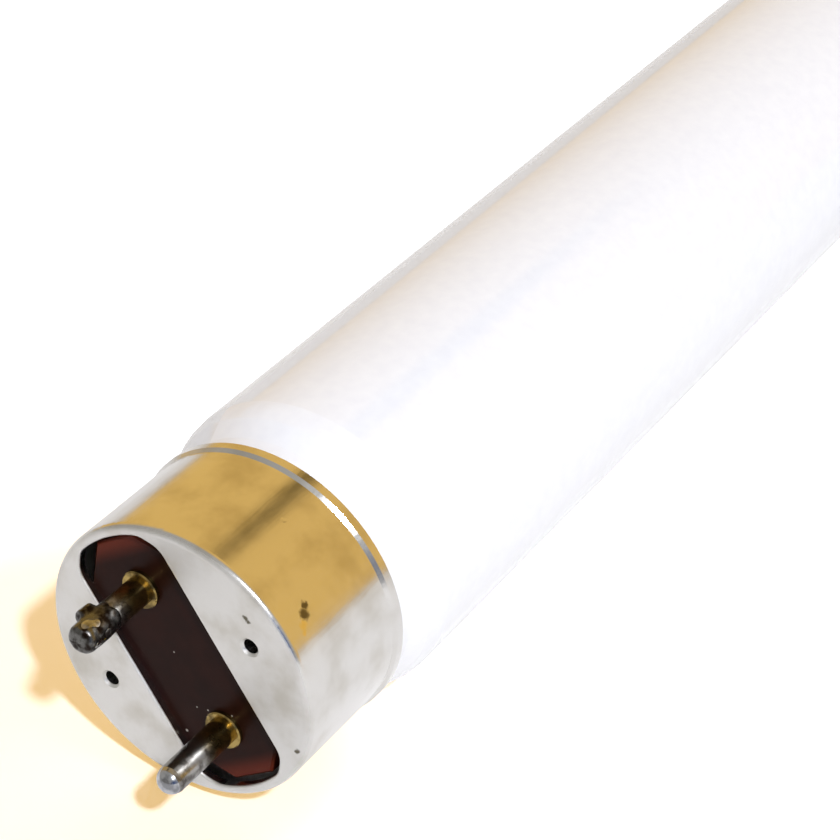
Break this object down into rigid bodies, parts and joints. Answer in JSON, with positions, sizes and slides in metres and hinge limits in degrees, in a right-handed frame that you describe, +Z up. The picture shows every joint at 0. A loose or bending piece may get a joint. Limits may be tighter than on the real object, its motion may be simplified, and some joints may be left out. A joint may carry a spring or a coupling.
{
  "type": "fluorescent tube",
  "caption": "Straight white fluorescent tube with drawn metal end caps and a pair of contact pins at each end.",
  "frame": {"origin": "on the surface the tube lies on, under the middle of the glass", "axes": "+X along the tube from the end in the picture to the far end, +Z up; the line through each pair of pins leans 34.0 degrees from +Z towards +Y"},
  "size_m": [0.604, 0.026, 0.026],
  "materials": {
    "white_glass": "glossy white, coated inside",
    "cap_metal": "satin drawn metal",
    "phenolic": "glossy dark brown moulding",
    "pin_brass": "tinned, brass showing near the collar",
    "solder": "bright rounded solder",
    "lead_wire": "plain wire",
    "cement": "matte cement"
  },
  "bodies": {
    "root": {"glass_tube": "white_glass", "end_cap_front": "cap_metal", "insulator_front": "phenolic", "cement_ring_front": "cement", "contact_pin_front_upper": "pin_brass", "solder_tip_front_upper": "solder", "lead_wire_front_upper": "lead_wire", "contact_pin_front_lower": "pin_brass", "solder_tip_front_lower": "solder", "lead_wire_front_lower": "lead_wire", "end_cap_rear": "cap_metal", "insulator_rear": "phenolic", "cement_ring_rear": "cement", "contact_pin_rear_upper": "pin_brass", "solder_tip_rear_upper": "solder", "lead_wire_rear_upper": "lead_wire", "contact_pin_rear_lower": "pin_brass", "solder_tip_rear_lower": "solder", "lead_wire_rear_lower": "lead_wire"}
  },
  "joints": []
}
